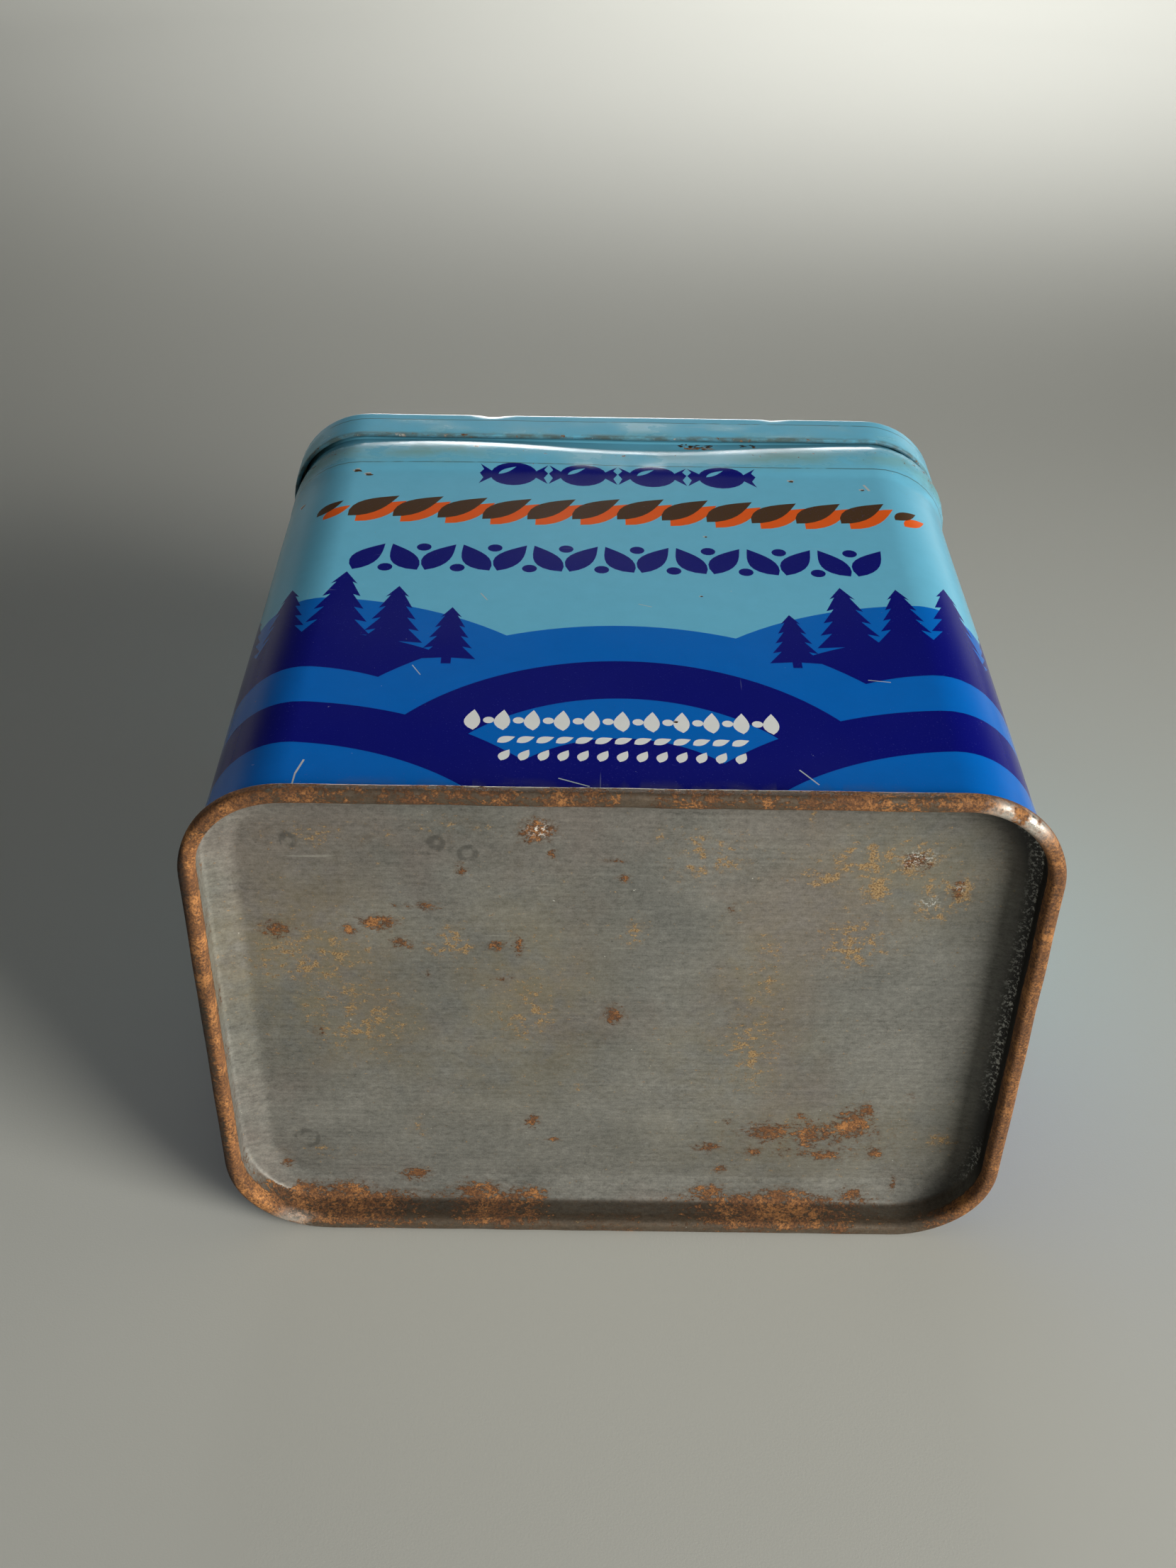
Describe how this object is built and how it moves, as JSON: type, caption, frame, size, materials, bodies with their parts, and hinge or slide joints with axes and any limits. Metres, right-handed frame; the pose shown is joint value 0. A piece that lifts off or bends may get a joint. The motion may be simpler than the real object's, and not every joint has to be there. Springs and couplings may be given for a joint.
{
  "type": "rectangular sweet tin",
  "caption": "Rectangular sheet-metal sweet tin with rounded corners, a flared shoulder under a lift-off slip lid, and a recessed seamed base, lying on its back.",
  "frame": {"origin": "centre of the footprint, on the surface on which the tin lies on its back", "axes": "+X across the printed front panel, +Y along the tin's height from base to lid, +Z out of the printed front panel, so the tin lies on its back as it is stored here"},
  "size_m": [0.13, 0.1272, 0.095],
  "materials": {
    "printed_wall": "satin litho print in sky blue, mid blue and navy, worn and scratched",
    "bare_base": "dull unprinted tinplate with rolling grain and rust",
    "printed_lid": "satin sky blue litho print with chipped edges"
  },
  "bodies": {
    "tin": {"body": "printed_wall", "base": "bare_base"},
    "lid": {"lid": "printed_lid"}
  },
  "joints": [
    {"name": "lid_lift", "type": "slide", "parent": "tin", "child": "lid", "axis": [0, 1, 0], "range_m": [0, 0.04]}
  ]
}
